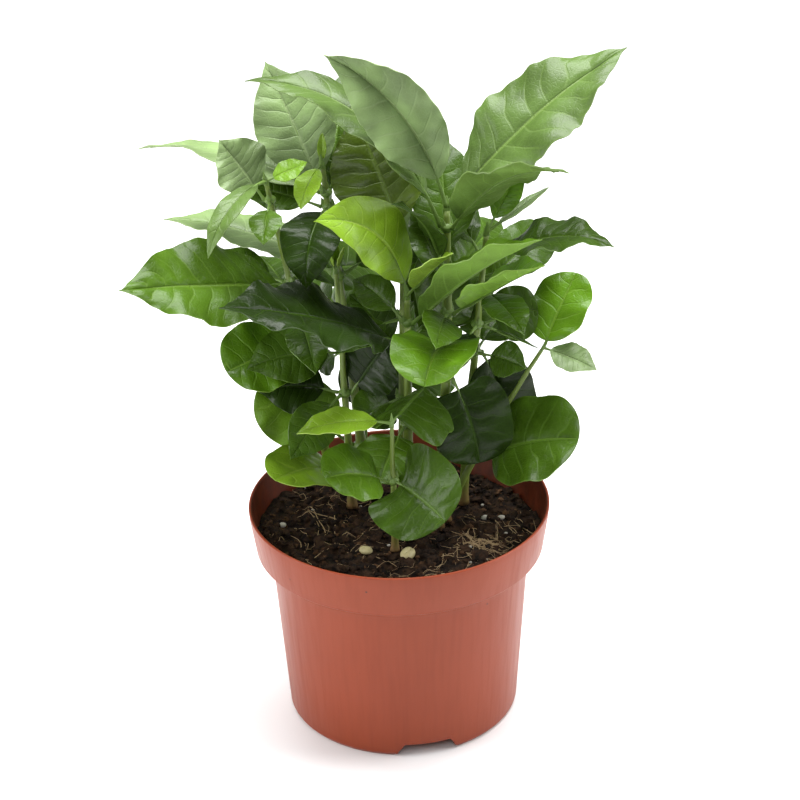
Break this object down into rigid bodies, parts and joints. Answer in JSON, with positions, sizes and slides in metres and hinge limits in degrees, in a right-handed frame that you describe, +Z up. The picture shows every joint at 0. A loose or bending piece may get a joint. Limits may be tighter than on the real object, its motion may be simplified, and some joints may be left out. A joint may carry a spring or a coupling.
{
  "type": "potted coffee plant",
  "caption": "Young coffee plant in a tapered nursery pot: a clump of thin upright seedlings with glossy wavy leaves in pairs, rounded seed leaves low down, and dark soil.",
  "frame": {"origin": "centre of the pot's flat underside, where it stands on the table", "axes": "+Z up along the pot's axis, the pictured front faces -Y, +X is the front view's right"},
  "size_m": [0.1938, 0.1376, 0.2763],
  "materials": {
    "pot_plastic": "terracotta coloured moulded plastic, satin",
    "soil": "dark damp peat with fine roots",
    "stem": "young green stem, brownish at the foot",
    "leaf": "glossy green leaf with a wavy edge"
  },
  "bodies": {
    "root": {"pot": "pot_plastic", "soil": "soil", "front_stem": "stem", "front_seed_leaves": "leaf", "front_top_leaves": "leaf", "middle_stem": "stem", "middle_seed_leaves": "leaf", "middle_first_leaves": "leaf", "middle_second_leaves": "leaf", "middle_top_leaves": "leaf", "tall_stem": "stem", "tall_low_leaves": "leaf", "tall_seed_leaves": "leaf", "tall_first_leaves": "leaf", "tall_inner_leaves": "leaf", "tall_second_leaves": "leaf", "tall_third_leaves": "leaf", "tall_top_leaves": "leaf", "rear_left_stem": "stem", "rear_left_seed_leaves": "leaf", "rear_left_first_leaves": "leaf", "rear_left_inner_leaves": "leaf", "rear_left_second_leaves": "leaf", "rear_left_third_leaves": "leaf", "rear_left_top_leaves": "leaf", "rear_stem": "stem", "rear_seed_leaves": "leaf", "rear_inner_leaves": "leaf", "rear_first_leaves": "leaf", "rear_second_leaves": "leaf", "rear_top_leaves": "leaf", "slim_stem": "stem", "slim_seed_leaves": "leaf", "slim_first_leaves": "leaf", "slim_top_leaves": "leaf", "left_stem": "stem", "left_seed_leaves": "leaf", "left_first_leaves": "leaf", "left_inner_leaves": "leaf", "left_second_leaves": "leaf", "left_top_leaves": "leaf", "right_stem": "stem", "right_seed_leaves": "leaf", "right_first_leaves": "leaf", "right_inner_leaves": "leaf", "right_second_leaves": "leaf", "right_top_leaves": "leaf", "outer_stem": "stem", "outer_seed_leaves": "leaf", "outer_top_leaves": "leaf"}
  },
  "joints": []
}
